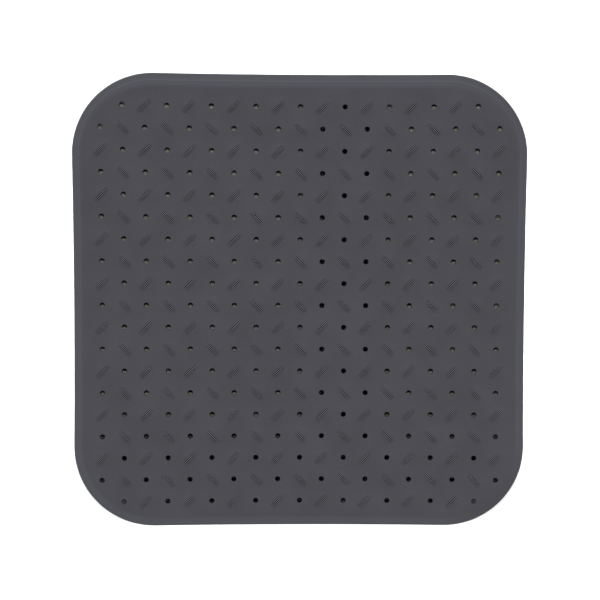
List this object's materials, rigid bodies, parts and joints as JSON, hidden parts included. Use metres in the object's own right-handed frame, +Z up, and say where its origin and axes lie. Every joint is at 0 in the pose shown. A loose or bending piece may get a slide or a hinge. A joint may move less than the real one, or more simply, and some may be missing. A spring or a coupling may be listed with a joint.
{
  "type": "perforated rubber mat",
  "caption": "Square rubber anti-slip mat with rounded corners, a bevelled rim, drain holes, diagonal ribbed treads and suction cups below.",
  "frame": {"origin": "middle of the mat's outline, on the plane of the suction cups' lips, where the mat rests", "axes": "+Z up through the tread side, +Y to the mat's rear edge, +X to its right edge"},
  "size_m": [0.542, 0.542, 0.0088],
  "materials": {
    "sheet_rubber": "moulded matte, dark grey",
    "rim_rubber": "moulded satin, dark grey",
    "tread_rubber": "ribbed matte, dark grey",
    "cup_rubber": "smooth satin, dark grey"
  },
  "bodies": {
    "root": {"mat_sheet": "sheet_rubber", "rim_band": "rim_rubber", "tread_row_01": "tread_rubber", "tread_row_02": "tread_rubber", "tread_row_03": "tread_rubber", "tread_row_04": "tread_rubber", "tread_row_05": "tread_rubber", "tread_row_06": "tread_rubber", "tread_row_07": "tread_rubber", "tread_row_08": "tread_rubber", "tread_row_09": "tread_rubber", "tread_row_10": "tread_rubber", "tread_row_11": "tread_rubber", "tread_row_12": "tread_rubber", "tread_row_13": "tread_rubber", "tread_row_14": "tread_rubber", "tread_row_15": "tread_rubber", "tread_row_16": "tread_rubber", "tread_row_17": "tread_rubber", "tread_row_18": "tread_rubber", "tread_row_19": "tread_rubber", "suction_cup_row_01": "cup_rubber", "suction_cup_row_02": "cup_rubber", "suction_cup_row_03": "cup_rubber", "suction_cup_row_04": "cup_rubber", "suction_cup_row_05": "cup_rubber", "suction_cup_row_06": "cup_rubber", "suction_cup_row_07": "cup_rubber", "suction_cup_row_08": "cup_rubber", "suction_cup_row_09": "cup_rubber", "suction_cup_row_10": "cup_rubber", "suction_cup_row_11": "cup_rubber", "suction_cup_row_12": "cup_rubber", "suction_cup_row_13": "cup_rubber", "suction_cup_row_14": "cup_rubber", "suction_cup_row_15": "cup_rubber", "suction_cup_row_16": "cup_rubber", "suction_cup_row_17": "cup_rubber", "suction_cup_row_18": "cup_rubber", "suction_cup_row_19": "cup_rubber"}
  },
  "joints": []
}
